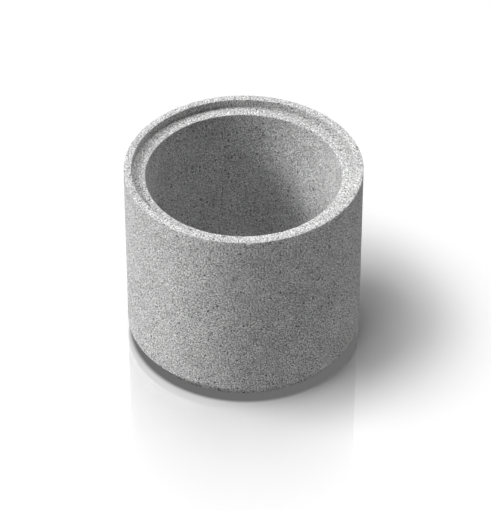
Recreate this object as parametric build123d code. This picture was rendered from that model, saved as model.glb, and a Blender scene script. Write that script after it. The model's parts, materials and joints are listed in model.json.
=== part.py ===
"""Round concrete flue liner: one cast ring, with a rebated socket on top and a spigot below.

It stands upright on its spigot. The flue runs along Z, and the origin is the centre of the
spigot's end face. Stacked liners nest: each spigot drops into the socket beneath it, and its
end face beds on that socket's ledge. All sizes are in millimetres.
"""

from build123d import *

import os

# Flue way and wall
bore_diameter = 200.0
wall_thickness = 22.0
outer_face_height = 194.5

# Rebated joint
lip_thickness = 8.0  # the lip that stands up round the socket
socket_depth = 9.0  # from the lip's top down to the ledge
spigot_length = 13.5  # from the shoulder down to the spigot's end
joint_clearance = 1.5  # the radial gap between a spigot and the socket that takes it

# Edges as they leave the mould
arris_radius = 1.2  # outward edges
root_radius = 1.0  # the two inward corners of the joint

# Radii and levels that follow from those sizes
bore_radius = bore_diameter / 2
outer_radius = bore_radius + wall_thickness
socket_radius = outer_radius - lip_thickness
spigot_radius = socket_radius - joint_clearance
shoulder_level = spigot_length
rim_level = shoulder_level + outer_face_height
ledge_level = rim_level - socket_depth


def wall_section():
    """The wall's section, walked from the foot of the bore round the outside and back."""
    corners = [  # distance from the axis, level and rounding
        (bore_radius, 0, arris_radius),
        (spigot_radius, 0, arris_radius),
        (spigot_radius, shoulder_level, root_radius),
        (outer_radius, shoulder_level, arris_radius),
        (outer_radius, rim_level, arris_radius),
        (socket_radius, rim_level, arris_radius),
        (socket_radius, ledge_level, root_radius),
        (bore_radius, ledge_level, arris_radius),
    ]
    points = [(radius, level) for radius, level, rounding in corners]
    roundings = [rounding for radius, level, rounding in corners]
    with BuildSketch(Plane.XZ) as section:
        with BuildLine():
            FilletPolyline(*points, radius=roundings, close=True)
        make_face()
    return section.sketch


def flue_liner():
    """The whole liner: its wall section turned once round the flue's axis."""
    liner = revolve(wall_section(), axis=Axis.Z)
    liner.label = "flue_liner"
    return liner


os.makedirs("parts", exist_ok=True)
export_step(flue_liner(), "parts/flue_liner.step")
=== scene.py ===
"""Looks of the round concrete flue liner, and the floor and light of its picture.

The casting is modelled anew over the frame's plain solid, at the frame's sizes: a wall section
turned round the flue, with worn arrises, blow holes and a sandy grain. Lengths are in metres.
"""

import json
import math
import random

import bmesh
import bpy
from mathutils import Matrix, Vector, noise

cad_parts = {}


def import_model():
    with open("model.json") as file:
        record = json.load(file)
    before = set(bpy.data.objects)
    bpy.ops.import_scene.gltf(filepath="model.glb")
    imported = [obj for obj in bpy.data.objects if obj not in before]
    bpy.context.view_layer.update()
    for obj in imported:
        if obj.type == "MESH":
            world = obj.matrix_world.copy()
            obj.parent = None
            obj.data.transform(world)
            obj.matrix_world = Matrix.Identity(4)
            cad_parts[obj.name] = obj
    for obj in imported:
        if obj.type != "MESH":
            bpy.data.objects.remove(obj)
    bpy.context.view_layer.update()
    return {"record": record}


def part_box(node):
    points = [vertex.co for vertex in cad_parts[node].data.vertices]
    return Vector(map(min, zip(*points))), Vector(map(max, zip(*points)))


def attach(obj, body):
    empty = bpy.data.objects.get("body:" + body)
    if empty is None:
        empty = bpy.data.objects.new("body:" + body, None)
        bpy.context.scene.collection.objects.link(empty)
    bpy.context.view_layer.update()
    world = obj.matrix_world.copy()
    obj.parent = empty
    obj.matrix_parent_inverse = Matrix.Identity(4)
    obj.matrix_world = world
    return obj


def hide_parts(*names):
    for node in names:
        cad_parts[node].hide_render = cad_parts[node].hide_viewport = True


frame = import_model()

# Sizes of the liner, from the frame
mounts = {mount["name"]: mount for mount in frame["record"]["mounts"]}
lowest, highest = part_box("flue_liner")


def mount_radius(name):
    """A round mount's radius."""
    return mounts[name]["dims"]["r_mm"] / 1000


def mount_level(name):
    """The level of a mount's face."""
    return mounts[name]["pos_m"][2]


bore_radius = mount_radius("flue_bore")
socket_radius = mount_radius("socket")
spigot_radius = mount_radius("spigot")
outer_radius = min(highest.x, highest.y, -lowest.x, -lowest.y)
foot_level = mount_level("spigot_end")
shoulder_level = mount_level("shoulder")
ledge_level = mount_level("socket_ledge")
rim_level = mount_level("rim")

# Mesh of the casting
around = 384  # faces round the flue
row_height = 0.0028
arris_radius = 0.0005
arris_segments = 2
flat_from = 0.7  # how far up or down a face's normal points where the face is laid out from above

# The section's corners: distance from the axis and level
outward_corners = [
    (bore_radius, foot_level),
    (spigot_radius, foot_level),
    (outer_radius, shoulder_level),
    (outer_radius, rim_level),
    (socket_radius, rim_level),
    (bore_radius, ledge_level),
]
inward_corners = [
    (spigot_radius, shoulder_level),
    (socket_radius, ledge_level),
]

# Relief left by the mould, and wear along the arrises
wave_size = 0.034
wave_depth = 0.00010
grain_size = 0.0046
grain_depth = 0.00010
arris_reach = 0.0015  # how far from a corner an arris is worn
crumb_size = 0.0016
crumb_depth = 0.00012
crumb_lift = 0.25  # added to the noise, so that crumbs cover more than half of an arris
chip_spacing = 0.0085
chip_start = 0.50  # noise at which a chip starts
chip_full = 0.7
chip_depth = 0.0006
chip_shift = Vector((7, 3, 5))  # keeps chips apart from the other noise
least_wear = 0.4  # how worn an arris looks without a crumb or chip
corner_shade_reach = 0.010  # how far the painted shade reaches from an inward corner

# Blow holes
hole_count = 800
hole_smallest = 0.00040  # radius
hole_largest = 0.00125
hole_rarity = 3.0  # how much rarer the large ones are
hole_depth_share = 0.85
hole_inset = 0.0005
hole_raggedness = 0.2
hole_rings = [(1.0, 0.08, 0.5), (0.55, 0.8, 1.0)]  # share of the radius, of the depth, and shade
clear_of_corners = 0.0038
seed = 4417

# Grain of the concrete
packed_grain = 0.0015
coarse_sand = 0.00080
fine_sand = 0.00048
cloud_scale = 34.0  # noise cells in a metre
mottle_scale = 110.0
dust_scale = 2600.0

# Specks: spacing, radius as a share of it, and the share of places that hold one
dark_specks = (0.0033, 0.33, 0.22)
pale_specks = (0.0036, 0.34, 0.26)
pore_specks = (0.0056, 0.20, 0.5)

# Tones that the colour is multiplied by
tone_spread = (0.82, 1.18)  # from grain to grain, and in clouds and mottle
dust_spread = (0.85, 1.15)
joint_tones = (1.27, 0.34)  # on a packed grain and in the joint
corner_shade_share = (0.08, 0.18)  # painted shade, taken off the colour in an inward corner

# Colours over the grains, and how well some of them cover
dark_stone = (0.07, 0.07, 0.072, 1)
pale_stone = (1.0, 1.0, 0.99, 1)
# Painted shade in the pores
pore_shade_colour = (0.10, 0.10, 0.10, 1)
# Painted shade inside the blow holes
pit_shade_colour = (0.14, 0.14, 0.14, 1)
worn_colour = (0.78, 0.78, 0.775, 1)
pale_cover = 0.80
pore_shade_cover = 0.70
pit_shade_cover = 0.55
worn_cover = 0.12

# Heights of the bump, in millimetres
coarse_height = 0.14
fine_height = 0.06
dust_height = 0.04
joint_height = -0.12
pore_height = -0.35

# Camera, as fitted to the photo's edges
camera_place = (0, -2.4829, 2.1444)
camera_down = math.radians(39.578)
camera_turn = math.radians(0.045)
camera_roll = math.radians(0.030)
camera_lens = 218.8
sensor_width = 36

# Sun lamps on the casting: name, azimuth and elevation that it shines from, and strength
lamp_disc = 13  # how wide each lamp looks, in degrees
casting_lamps = [
    ("key_high_back", 175, 50, 0.515),
    ("key_high_front", 195, 50, 0.22),
    ("key_front", 185, 42, 0.405),
    ("key_back", 175, 42, 0.375),
    ("key_low_back", 175, 34, 0.30),
    ("key_low_front", 195, 34, 0.38),
    ("key_lowest_back", 175, 26, 0.12),
    ("key_lowest_front", 195, 26, 0.385),
    ("top", 90, 85, 0.29),
    ("top_back", 90, 70, 0.505),
    ("back_right", 45, 60, 0.47),
    ("back_right_low", 45, 35, 0.235),
    ("back_low", 90, 12, 0.205),
]

# Low lamps on the casting, in place of light from the floor: name, azimuth and strength
bounce_elevation = -8
bounce_lamps = [
    ("bounce_left", 180, 0.545),
    ("bounce_front", 270, 0.385),
    ("bounce_front_right", 300, 0.24),
    ("bounce_right_front", 330, 0.14),
    ("bounce_right", 359, 0.07),
]

# Sun lamps on the floor: name, azimuth, elevation, disc and strength
floor_lamps = [
    ("floor_key", 180, 62, 34, 0.70),
    ("floor_key_back", 165, 62, 16, 0.545),
    ("floor_key_front", 195, 62, 16, 0.47),
    ("floor_key_low", 180, 56, 16, 0.14),
    ("floor_high_front", 210, 68, 24, 0.42),
    ("floor_high_back", 150, 74, 16, 0.40),
    ("floor_back", 90, 74, 24, 0.385),
    ("floor_front", 240, 62, 16, 0.225),
]
ambient = 0.06
floor_size = 20
floor_bounce = 0.15  # how pale the floor inside the bore is to bounced light

# The gap under the shoulder, and a painted shadow that shows it on the floor as one even dark band
gap_shadow_middle = Vector((0.0020, -0.0042, 0))
gap_shadow_radius = 0.1214
gap_shadow_softness = 0.0056
gap_shadow_level = 0.150
gap_shadow_behind = (0.004, 0.006)  # how far behind the axis it sets in again, out of the camera's sight
gap_light = 0.45
# Brightness of the ring's outside, which the polished floor mirrors as painted shade of the gap
gap_outside = 0.09
gap_below = 0.003  # how far the ring round the gap goes below the floor, to keep low lamps out

# Polish of the floor in front of the wall, strongest at the foot
polish = 0.30
polish_roughness = 0.03
polish_reach = 0.200
polish_fading = 1.2
polish_left = 0.8  # share added by the wall's left edge, and less to its right
polish_left_start = (0.010, 0.030)  # distances from the wall between which that share sets in
polish_foot = 0.07  # added right by the foot
polish_foot_reach = 0.030
polish_under = (-0.020, -0.018)  # the same for all of the polish, and below 0 under the liner

# Where the painted shadow and the polish fade out beside the wall: shares of the line of sight past
# its edge
right_end = (0.975, 0.99)
left_end = 1.01


def corner_distance(point, corners):
    """How far a point lies, in the wall's section, from the nearest of some corners."""
    radius = math.hypot(point.x, point.y)
    return min(math.hypot(radius - at, point.z - level) for at, level in corners)


def smooth_step(value, start, end):
    """0 up to start, 1 from end on, and a smooth rise between."""
    share = min(1.0, max(0.0, (value - start) / (end - start)))
    return share * share * (3 - 2 * share)


def wall_section(bm):
    """The wall's section as a closed wire in the XZ plane, walked from the bore's foot outwards."""
    corners = [
        outward_corners[0],
        outward_corners[1],
        inward_corners[0],
        outward_corners[2],
        outward_corners[3],
        outward_corners[4],
        inward_corners[1],
        outward_corners[5],
    ]
    verts = [bm.verts.new((radius, 0, level)) for radius, level in corners]
    for start, end in zip(verts, verts[1:] + verts[:1]):
        bm.edges.new((start, end))
    bmesh.ops.bevel(bm, geom=bm.verts[:], offset=arris_radius, segments=arris_segments,
                    profile=0.5, affect="VERTICES", material=-1)


def cut_into_rows(bm):
    """Cuts each long edge of the section into rows of faces."""
    for edge in bm.edges[:]:
        cuts = round(edge.calc_length() / row_height) - 1
        if cuts > 0:
            bmesh.ops.subdivide_edges(bm, edges=[edge], cuts=cuts)


def turn_round_flue(bm):
    """Turns the section once round the flue's axis."""
    bmesh.ops.spin(bm, geom=bm.verts[:] + bm.edges[:], cent=(0, 0, 0), axis=(0, 0, 1),
                   angle=math.tau, steps=around, use_merge=True)
    bmesh.ops.recalc_face_normals(bm, faces=bm.faces[:])


def refine_arrises(bm):
    """Halves the faces along the outward arrises, where crumbs and chips need them."""
    edges = [
        edge for edge in bm.edges
        if abs(edge.verts[0].co.z - edge.verts[1].co.z) < 1e-6
        and edge.calc_length() > arris_radius
        and all(corner_distance(vert.co, outward_corners) < arris_radius for vert in edge.verts)
    ]
    bmesh.ops.subdivide_edges(bm, edges=edges, cuts=1, use_grid_fill=True)


def wear(bm):
    """Moves each vertex in by the mould's waves and grain, and by crumbs and chips on an arris."""
    arris_layer = bm.verts.layers.float.new("arris")
    corner_shade_layer = bm.verts.layers.float.new("corner")
    bm.normal_update()
    moves = []
    for vert in bm.verts:
        point = vert.co
        arris = 1 - smooth_step(corner_distance(point, outward_corners), 0, arris_reach)
        depth = wave_depth * (1 + noise.noise(point / wave_size)) / 2
        depth += grain_depth * (1 + noise.noise(point / grain_size)) / 2
        crumb = max(0.0, noise.noise(point / crumb_size) + crumb_lift)
        chip_noise = noise.noise(point / chip_spacing + chip_shift)
        chip = smooth_step(chip_noise, chip_start, chip_full)
        depth += arris * (crumb_depth * crumb + chip_depth * chip)
        vert[arris_layer] = arris * min(1.0, least_wear + crumb + chip)
        # How near an inward corner the vertex lies, for the painted shade there
        from_corner = corner_distance(point, inward_corners)
        vert[corner_shade_layer] = 1 - smooth_step(from_corner, 0, corner_shade_reach)
        moves.append((vert, vert.normal * -depth))
    for vert, move in moves:
        vert.co += move


def hole_spots(bm, chance):
    """Vertices for the blow holes, each with its four faces, which no other hole shares."""
    corners = outward_corners + inward_corners
    free = [
        vert for vert in bm.verts
        if len(vert.link_faces) == 4
        and all(len(face.verts) == 4 for face in vert.link_faces)
        and corner_distance(vert.co, corners) > clear_of_corners
    ]
    chance.shuffle(free)
    taken = set()
    spots = []
    for vert in free:
        patch = vert.link_faces[:]
        near = {other for face in patch for other in face.verts}
        if taken.isdisjoint(near):
            taken |= near
            spots.append((vert, patch))
        if len(spots) == hole_count:
            break
    return spots


def turn_in_surface(point, place, normal):
    """The angle of a point about a place on a surface, counted between two rows of vertices."""
    along = Vector((-place.y, place.x, 0)).normalized()
    offset = point - place
    angle = math.atan2(offset.dot(normal.cross(along)), offset.dot(along))
    half_step = math.tau / 16  # half the angle between two of a ring's eight vertices
    return (angle + half_step) % math.tau


def ring_round(vert, patch, place, normal, radius, depth, chance):
    """Sets the vertices round a hole's middle on a ragged circle at some depth."""
    ring = {other for face in patch for other in face.verts} - {vert}
    for other in sorted(ring, key=lambda one: turn_in_surface(one.co, place, normal)):
        across = other.co - place
        across -= normal * across.dot(normal)
        across.normalize()
        reach = radius * chance.uniform(1 - hole_raggedness, 1 + hole_raggedness)
        other.co = place + across * reach - normal * depth
    return ring


def blow_holes(bm, chance):
    """Sinks round holes of several sizes into the faces, and marks painted shade inside them."""
    pit_shade_layer = bm.verts.layers.float.new("painted_pit_shade")
    bm.normal_update()
    spots = hole_spots(bm, chance)
    places = [(vert.co.copy(), vert.normal.copy()) for vert, patch in spots]
    sizes = [
        hole_smallest + (hole_largest - hole_smallest) * chance.random() ** hole_rarity
        for spot in spots
    ]
    faces = [face for vert, patch in spots for face in patch]
    for radius_share, depth_share, shade in hole_rings:
        bmesh.ops.inset_region(bm, faces=faces, thickness=hole_inset * radius_share,
                               use_boundary=True, use_even_offset=True)
        for (vert, patch), (place, normal), size in zip(spots, places, sizes):
            depth = size * hole_depth_share * depth_share
            ring = ring_round(vert, patch, place, normal, size * radius_share, depth, chance)
            # Painted shade on this ring of the hole
            for other in ring:
                other[pit_shade_layer] = shade
    for (vert, patch), (place, normal), size in zip(spots, places, sizes):
        vert.co = place - normal * size * hole_depth_share
        # Full painted shade at the hole's floor
        vert[pit_shade_layer] = 1.0


def lay_skin(bm):
    """Lays the faces out flat, in metres, as a UV map: walls unrolled, flat rings from above."""
    layer = bm.loops.layers.uv.new("skin")
    bm.normal_update()
    for face in bm.faces:
        middle = face.calc_center_median()
        turn = math.atan2(middle.x, -middle.y)
        for loop in face.loops:
            point = loop.vert.co
            if abs(face.normal.z) > flat_from:
                loop[layer].uv = point.x, point.y
            else:
                step = math.remainder(math.atan2(point.x, -point.y) - turn, math.tau)
                loop[layer].uv = (turn + step) * outer_radius, point.z


def casting_mesh():
    """The casting's mesh."""
    bm = bmesh.new()
    wall_section(bm)
    cut_into_rows(bm)
    turn_round_flue(bm)
    refine_arrises(bm)
    wear(bm)
    blow_holes(bm, random.Random(seed))
    lay_skin(bm)
    for face in bm.faces:
        face.smooth = True
    mesh = bpy.data.meshes.new("casting")
    bm.to_mesh(mesh)
    bm.free()
    return mesh


def link(obj):
    """Puts an object in the scene."""
    bpy.context.scene.collection.objects.link(obj)
    return obj


def add_node(tree, kind, inputs=None, **settings):
    """A node with its settings and its inputs. An input is a value or another node's output."""
    made = tree.nodes.new("ShaderNode" + kind)
    for name, value in settings.items():
        setattr(made, name, value)
    for name, value in (inputs or {}).items():
        if isinstance(value, bpy.types.NodeSocket):
            tree.links.new(value, made.inputs[name])
        else:
            made.inputs[name].default_value = value
    return made


def calc(tree, operation, *values):
    """The output of a Math node on some values or outputs."""
    return add_node(tree, "Math", dict(enumerate(values)), operation=operation).outputs[0]


def vector_calc(tree, operation, *values):
    """A Vector Math node on some values or outputs."""
    return add_node(tree, "VectorMath", dict(enumerate(values)), operation=operation).outputs


def ranged(tree, value, start, end, to_start, to_end, shape="LINEAR"):
    """A value mapped from one range to another."""
    inputs = {
        "Value": value,
        "From Min": start,
        "From Max": end,
        "To Min": to_start,
        "To Max": to_end,
    }
    return add_node(tree, "MapRange", inputs, interpolation_type=shape).outputs["Result"]


def blend(tree, share, first, second, kind="MIX"):
    """Two colours blended."""
    inputs = {0: share, 6: first, 7: second}
    return add_node(tree, "Mix", inputs, data_type="RGBA", blend_type=kind).outputs[2]


def new_group(name, inputs, outputs):
    """A node group with named sockets: the group, its given inputs and its results."""
    group = bpy.data.node_groups.new(name, "ShaderNodeTree")
    for label, kind in inputs:
        group.interface.new_socket(label, in_out="INPUT", socket_type="NodeSocket" + kind)
    for label in outputs:
        group.interface.new_socket(label, in_out="OUTPUT", socket_type="NodeSocketFloat")
    given = group.nodes.new("NodeGroupInput").outputs
    result = group.nodes.new("NodeGroupOutput").inputs
    return group, given, result


def use_group(tree, group, inputs):
    """The outputs of a group's node."""
    return add_node(tree, "Group", inputs, node_tree=group).outputs


def made_ragged(tree, place, scale, reach):
    """A place pushed about by noise, so that what is drawn there gets ragged outlines."""
    rough = add_node(tree, "TexNoise", {"Vector": place, "Scale": scale}).outputs["Color"]
    offset = vector_calc(tree, "SUBTRACT", rough, (0.5, 0.5, 0.5))["Vector"]
    return vector_calc(tree, "MULTIPLY_ADD", offset, reach, place)["Vector"]


def sand_group():
    """Close-packed grains: a random tone for each grain, and its rounded top as a height."""
    inputs = [("Vector", "Vector"), ("Size", "Float")]
    group, given, result = new_group("sand", inputs, ["Tone", "Height"])
    scale = calc(group, "DIVIDE", 1.0, given["Size"])
    cells = add_node(group, "TexVoronoi", {"Vector": given["Vector"], "Scale": scale}).outputs
    tones = add_node(group, "SeparateColor", {"Color": cells["Color"]}).outputs
    lift = calc(group, "MULTIPLY_ADD", tones["Green"], 0.6, 0.4)
    height = calc(group, "MULTIPLY", calc(group, "SUBTRACT", 1.0, cells["Distance"]), lift)
    group.links.new(tones["Red"], result["Tone"])
    group.links.new(height, result["Height"])
    return group


def packing_group():
    """Grains packed on the skin: 0 on a grain and 1 in the dark joints, and a tone for each."""
    inputs = [("Vector", "Vector"), ("Size", "Float")]
    group, given, result = new_group("packing", inputs, ["Joint", "Tone"])
    scale = calc(group, "DIVIDE", 1.0, given["Size"])
    ragged = made_ragged(group, given["Vector"], scale, calc(group, "MULTIPLY", given["Size"], 0.3))
    cells = add_node(group, "TexVoronoi", {"Vector": ragged, "Scale": scale, "Randomness": 0.8},
                     voronoi_dimensions="2D").outputs
    draws = add_node(group, "SeparateColor", {"Color": cells["Color"]}).outputs
    group.links.new(ranged(group, cells["Distance"], 0.25, 0.70, 0.0, 1.0), result["Joint"])
    group.links.new(draws["Red"], result["Tone"])
    return group


def specks_group():
    """Scattered specks with ragged outlines: a mask that is 1 inside a speck."""
    group, given, result = new_group(
        "specks",
        [("Vector", "Vector"), ("Spacing", "Float"), ("Radius", "Float"), ("Share", "Float")],
        ["Mask"])
    scale = calc(group, "DIVIDE", 1.0, given["Spacing"])
    reach = calc(group, "MULTIPLY", given["Spacing"], 0.5)
    ragged = made_ragged(group, given["Vector"], calc(group, "MULTIPLY", scale, 3.0), reach)
    cells = add_node(group, "TexVoronoi", {"Vector": ragged, "Scale": scale}).outputs
    draws = add_node(group, "SeparateColor", {"Color": cells["Color"]}).outputs
    chosen = calc(group, "LESS_THAN", draws["Red"], given["Share"])
    size = calc(group, "MULTIPLY", given["Radius"], calc(group, "ADD", draws["Green"], 0.35))
    core = calc(group, "MULTIPLY", size, 0.6)
    inside = ranged(group, cells["Distance"], size, core, 0.0, 1.0, "SMOOTHSTEP")
    group.links.new(calc(group, "MULTIPLY", inside, chosen), result["Mask"])
    return group


def new_material(name):
    """An empty node material: the material, its tree and the node for its surface."""
    material = bpy.data.materials.new(name)
    material.use_nodes = True
    material.node_tree.nodes.clear()
    return material, material.node_tree, material.node_tree.nodes.new("ShaderNodeOutputMaterial")


def scattered(tree, group, place, spacing, radius, share):
    """The mask of some scattered specks."""
    inputs = {"Vector": place, "Spacing": spacing, "Radius": radius, "Share": share}
    return use_group(tree, group, inputs)["Mask"]


def noise_at(tree, place, scale, detail=2.0):
    """A noise of some scale, from 0 to 1."""
    inputs = {"Vector": place, "Scale": scale, "Detail": detail}
    return add_node(tree, "TexNoise", inputs).outputs["Fac"]


def mesh_value(tree, name):
    """A value that the mesh holds at each vertex."""
    return add_node(tree, "Attribute", attribute_name=name).outputs["Fac"]


def grain_colour(tree, tone, packing):
    """Cement and sand of all tones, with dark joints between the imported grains."""
    ramp = add_node(tree, "ValToRGB", {"Fac": tone})
    stops = ramp.color_ramp.elements
    stops[0].position, stops[0].color = 0.12, (0.40, 0.40, 0.40, 1)
    stops[1].position, stops[1].color = 0.84, (1.0, 1.0, 0.995, 1)
    for position, level in ((0.34, 0.55), (0.52, 0.73)):
        stops.new(position).color = (level, level, level, 1)
    joints = ranged(tree, packing["Joint"], 0, 1, *joint_tones)
    tones = ranged(tree, packing["Tone"], 0, 1, *tone_spread)
    grains = calc(tree, "MULTIPLY", joints, tones)
    return blend(tree, 1.0, ramp.outputs["Color"], grains, "MULTIPLY")


def tone_and_corner_shade(tree, place, dust):
    """How clouds, mottle and dust vary the colour's tone, and how painted shade darkens it in the
    inward corners.
    """
    clouds = noise_at(tree, place, cloud_scale, 3.0)
    mottle = noise_at(tree, place, mottle_scale)
    shade = calc(tree, "MULTIPLY", ranged(tree, clouds, 0, 1, *tone_spread),
                 ranged(tree, mottle, 0, 1, *tone_spread))
    shade = calc(tree, "MULTIPLY", shade, ranged(tree, dust, 0, 1, *dust_spread))
    # Painted shade in the inward corners, stronger where the clouds are paler
    corner_shade_strength = ranged(tree, clouds, 0.3, 0.7, *corner_shade_share)
    corner_shade = calc(tree, "MULTIPLY", mesh_value(tree, "corner"), corner_shade_strength)
    return calc(tree, "MULTIPLY", shade, calc(tree, "SUBTRACT", 1.0, corner_shade))


def grain_bump(tree, parts):
    """The normal over some parts of the grain, each with its height in millimetres."""
    height = 0.0
    for part, rise in parts:
        height = calc(tree, "MULTIPLY_ADD", part, rise, height)
    inputs = {"Height": height, "Strength": 1.0, "Distance": 0.001}
    return add_node(tree, "Bump", inputs).outputs["Normal"]


def concrete_material():
    """Cast concrete: cement and sand of all tones, dark and pale stones, and pores, with painted
    shade in the pores and the blow holes.
    """
    material, tree, surface = new_material("cast_concrete")
    place = add_node(tree, "TexCoord").outputs["Object"]
    skin = add_node(tree, "UVMap", uv_map="skin").outputs["UV"]
    sand, specks = sand_group(), specks_group()
    packing = use_group(tree, packing_group(), {"Vector": skin, "Size": packed_grain})
    coarse = use_group(tree, sand, {"Vector": place, "Size": coarse_sand})
    fine = use_group(tree, sand, {"Vector": place, "Size": fine_sand})
    dark = scattered(tree, specks, place, *dark_specks)
    pale = scattered(tree, specks, place, *pale_specks)
    pores = scattered(tree, specks, place, *pore_specks)
    dust = noise_at(tree, place, dust_scale)
    worn, pit_shade = mesh_value(tree, "arris"), mesh_value(tree, "painted_pit_shade")

    tone = blend(tree, 0.40, coarse["Tone"], fine["Tone"])
    colour = blend(tree, dark, grain_colour(tree, tone, packing), dark_stone)
    colour = blend(tree, calc(tree, "MULTIPLY", pale, pale_cover), colour, pale_stone)
    # Painted shade in the pores
    colour = blend(tree, calc(tree, "MULTIPLY", pores, pore_shade_cover), colour, pore_shade_colour)
    # Random tones, and painted shade in the inward corners
    colour = blend(tree, 1.0, colour, tone_and_corner_shade(tree, place, dust), "MULTIPLY")
    colour = blend(tree, calc(tree, "MULTIPLY", worn, worn_cover), colour, worn_colour)
    # Painted shade inside the blow holes
    colour = blend(tree, calc(tree, "MULTIPLY", pit_shade, pit_shade_cover), colour, pit_shade_colour)

    bump = grain_bump(tree, [
        (coarse["Height"], coarse_height),
        (fine["Height"], fine_height),
        (dust, dust_height),
        (packing["Joint"], joint_height),
        (pores, pore_height),
    ])
    inputs = {
        "Base Color": colour,
        "Roughness": ranged(tree, tone, 0, 1, 0.96, 0.84),
        "Specular IOR Level": 0.3,
        "Normal": bump,
    }
    shader = add_node(tree, "BsdfPrincipled", inputs)
    tree.links.new(shader.outputs[0], surface.inputs["Surface"])
    return material


def seen_directly(tree):
    """1 for rays that show the background: from the camera, mirrored or through glass."""
    path = add_node(tree, "LightPath").outputs
    seen = calc(tree, "MAXIMUM", path["Is Camera Ray"], path["Is Glossy Ray"])
    return calc(tree, "MAXIMUM", seen, path["Is Transmission Ray"])


def between_edges(tree, across, along):
    """1 on the floor between the wall's two edges as the camera sees them."""
    distance = -camera_place[1]
    sight = calc(tree, "DIVIDE", across, calc(tree, "ADD", along, distance))
    grazing = outer_radius / math.sqrt(distance ** 2 - outer_radius ** 2)
    fading, gone = right_end
    right = ranged(tree, sight, grazing * fading, grazing * gone, 1.0, 0.0)
    left = ranged(tree, sight, -grazing * left_end, -grazing, 0.0, 1.0)
    return calc(tree, "MULTIPLY", right, left)


def under_back_shoulder(tree, along, from_axis):
    """1 on the floor under the shoulder's far half, which the camera doesn't see."""
    under = calc(tree, "LESS_THAN", from_axis, outer_radius)
    return calc(tree, "MULTIPLY", under, ranged(tree, along, *gap_shadow_behind, 0.0, 1.0))


def painted_gap_shadow(tree, place, along, from_axis, between):
    """How much of the painted shadow in the gap, one even dark band, shows on the floor."""
    from_middle = vector_calc(tree, "DISTANCE", place, gap_shadow_middle)["Value"]
    inner, outer = gap_shadow_radius - gap_shadow_softness / 2, gap_shadow_radius + gap_shadow_softness / 2
    gap_shadow_share = ranged(tree, from_middle, inner, outer, 1.0, 0.0, "SMOOTHSTEP")
    gap_shadow_share = calc(tree, "MULTIPLY", gap_shadow_share, calc(tree, "GREATER_THAN", from_axis, bore_radius))
    behind = under_back_shoulder(tree, along, from_axis)
    return calc(tree, "MULTIPLY", gap_shadow_share, calc(tree, "MAXIMUM", between, behind))


def fading_polish(tree, across, along):
    """How much the floor mirrors: less away from the wall, and more towards the lit side."""
    reverse = calc(tree, "MULTIPLY", across, -1.0)
    chord = calc(tree, "MULTIPLY_ADD", across, reverse, outer_radius ** 2)
    wall = calc(tree, "SQRT", calc(tree, "MAXIMUM", chord, 0.0))
    away = calc(tree, "MULTIPLY", calc(tree, "ADD", along, wall), -1.0)
    near = ranged(tree, away, 0.0, polish_reach, 1.0, 0.0)
    strength = calc(tree, "MULTIPLY", calc(tree, "POWER", near, polish_fading), polish)
    left = ranged(tree, across, 0.0, -outer_radius, 0.0, polish_left)
    left = calc(tree, "MULTIPLY", left, ranged(tree, away, *polish_left_start, 0.0, 1.0))
    foot = ranged(tree, away, 0.0, polish_foot_reach, polish_foot, 0.0)
    full = calc(tree, "MULTIPLY_ADD", strength, calc(tree, "ADD", left, 1.0), foot)
    return calc(tree, "MULTIPLY", full, ranged(tree, away, *polish_under, 0.0, 1.0))


def floor_material():
    """White floor with a fading polish in front of the wall and a painted shadow in the gap."""
    material, tree, surface = new_material("floor")
    place = add_node(tree, "TexCoord").outputs["Object"]
    split = add_node(tree, "SeparateXYZ", {0: place}).outputs
    from_axis = vector_calc(tree, "LENGTH", place)["Value"]
    between = between_edges(tree, split["X"], split["Y"])
    gap_shadow_share = painted_gap_shadow(tree, place, split["Y"], from_axis, between)
    mirroring = calc(tree, "MULTIPLY", fading_polish(tree, split["X"], split["Y"]), between)
    matt = add_node(tree, "BsdfDiffuse", {"Color": (1, 1, 1, 1)}).outputs[0]
    gloss = add_node(tree, "BsdfGlossy", {"Color": (1, 1, 1, 1), "Roughness": polish_roughness})
    polished = add_node(tree, "MixShader", {0: mirroring, 1: matt, 2: gloss.outputs[0]}).outputs[0]
    # Painted shadow in the gap: an even dark glow in place of the lit floor
    dark = add_node(tree, "Emission", {"Color": (gap_shadow_level, gap_shadow_level, gap_shadow_level, 1)}).outputs[0]
    shown = add_node(tree, "MixShader", {0: gap_shadow_share, 1: polished, 2: dark}).outputs[0]
    bounce = ranged(tree, from_axis, bore_radius, spigot_radius, floor_bounce, 0.0)
    dull = add_node(tree, "BsdfDiffuse", {"Color": bounce}).outputs[0]
    both = add_node(tree, "MixShader", {0: seen_directly(tree), 1: dull, 2: shown}).outputs[0]
    tree.links.new(both, surface.inputs["Surface"])
    return material


def floor():
    """The floor that the liner stands on."""
    bm = bmesh.new()
    bmesh.ops.create_grid(bm, x_segments=1, y_segments=1, size=floor_size)
    mesh = bpy.data.meshes.new("floor")
    bm.to_mesh(mesh)
    bm.free()
    made = link(bpy.data.objects.new("floor", mesh))
    mesh.materials.append(floor_material())
    return made


def gap_material():
    """Sheds an even light inwards and is dark from outside."""
    material, tree, surface = new_material("gap_shade")
    inside = add_node(tree, "NewGeometry").outputs["Backfacing"]
    strength = ranged(tree, inside, 0, 1, gap_outside, gap_light)
    glow = add_node(tree, "Emission", {"Color": (1, 1, 1, 1), "Strength": strength})
    tree.links.new(glow.outputs[0], surface.inputs["Surface"])
    return material


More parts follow.
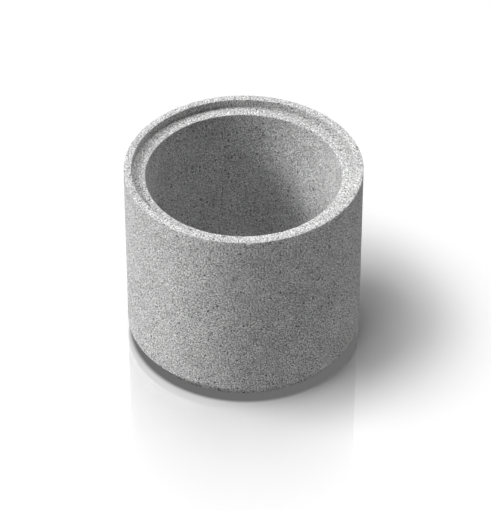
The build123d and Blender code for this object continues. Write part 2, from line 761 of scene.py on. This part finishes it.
def gap_shade():
    """A ring round the gap under the shoulder, which keeps the lamps out, unseen by the camera."""
    bm = bmesh.new()
    bmesh.ops.create_cone(bm, cap_ends=False, segments=around,
                          radius1=gap_shadow_radius - gap_shadow_softness / 2,
                          radius2=outer_radius - arris_radius,
                          depth=shoulder_level + gap_below)
    lower = [vert for vert in bm.verts if vert.co.z < 0]
    bmesh.ops.translate(bm, verts=bm.verts[:], vec=(0, 0, (shoulder_level - gap_below) / 2))
    bmesh.ops.translate(bm, verts=lower, vec=gap_shadow_middle)
    mesh = bpy.data.meshes.new("gap_shade")
    bm.to_mesh(mesh)
    bm.free()
    made = link(bpy.data.objects.new("gap_shade", mesh))
    mesh.materials.append(gap_material())
    made.visible_camera = False
    return made


def world():
    """White to the camera and in reflections, and a low even light for the rest."""
    made = bpy.data.worlds.new("world")
    bpy.context.scene.world = made
    made.use_nodes = True
    tree = made.node_tree
    tree.nodes.clear()
    white = add_node(tree, "Background", {"Color": (1, 1, 1, 1), "Strength": 1.0}).outputs[0]
    low = add_node(tree, "Background", {"Color": (1, 1, 1, 1), "Strength": ambient}).outputs[0]
    both = add_node(tree, "MixShader", {0: seen_directly(tree), 1: low, 2: white}).outputs[0]
    tree.links.new(both, tree.nodes.new("ShaderNodeOutputWorld").inputs["Surface"])


def towards(azimuth, elevation):
    """The direction towards an azimuth, counted from X to Y, and an elevation, in degrees."""
    turn, rise = math.radians(azimuth), math.radians(elevation)
    level = math.cos(rise)
    return Vector((level * math.cos(turn), level * math.sin(turn), math.sin(rise)))


def gather(name, *objects):
    """A collection of some objects, for what a lamp lights or what stands in its way."""
    made = bpy.data.collections.new(name)
    for obj in objects:
        made.objects.link(obj)
    return made


def sun(name, azimuth, elevation, disc, strength, lit, blockers=None):
    """A sun lamp that lights one collection. Where blockers are given, nothing else shades it."""
    data = bpy.data.lights.new(name, "SUN")
    data.energy = strength
    data.angle = math.radians(disc)
    lamp = link(bpy.data.objects.new(name, data))
    lamp.rotation_mode = "QUATERNION"
    lamp.rotation_quaternion = towards(azimuth, elevation).to_track_quat("Z", "Y")
    lamp.light_linking.receiver_collection = lit
    lamp.light_linking.blocker_collection = blockers


def light_the_scene(casting, ground, gap):
    """Lights the casting and the floor apart. Low lamps stand in for light from the floor."""
    lit_casting, lit_ground = gather("lit_casting", casting), gather("lit_ground", ground)
    blockers = gather("blockers", casting, gap)
    for name, azimuth, elevation, strength in casting_lamps:
        sun(name, azimuth, elevation, lamp_disc, strength, lit_casting)
    for name, azimuth, strength in bounce_lamps:
        sun(name, azimuth, bounce_elevation, lamp_disc, strength, lit_casting, blockers)
    for name, azimuth, elevation, disc, strength in floor_lamps:
        sun(name, azimuth, elevation, disc, strength, lit_ground)


def camera():
    """The camera of the photo."""
    data = bpy.data.cameras.new("camera")
    data.sensor_width = sensor_width
    data.lens = camera_lens
    data.clip_end = 100
    made = link(bpy.data.objects.new("camera", data))
    turn = Matrix.Rotation(-camera_turn, 4, "Z")
    tilt = Matrix.Rotation(math.pi / 2 - camera_down, 4, "X")
    roll = Matrix.Rotation(camera_roll, 4, "Z")
    made.matrix_world = Matrix.Translation(camera_place) @ turn @ tilt @ roll
    bpy.context.scene.camera = made


def dressed_casting():
    """The casting in its material, in place of the frame's solid."""
    made = link(bpy.data.objects.new("flue_liner_casting", casting_mesh()))
    made.data.materials.append(concrete_material())
    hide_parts("flue_liner")
    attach(made, "root")
    return made


casting = dressed_casting()
ground = floor()
gap = gap_shade()
world()
light_the_scene(casting, ground, gap)
camera()
bpy.context.scene.view_settings.view_transform = "Standard"
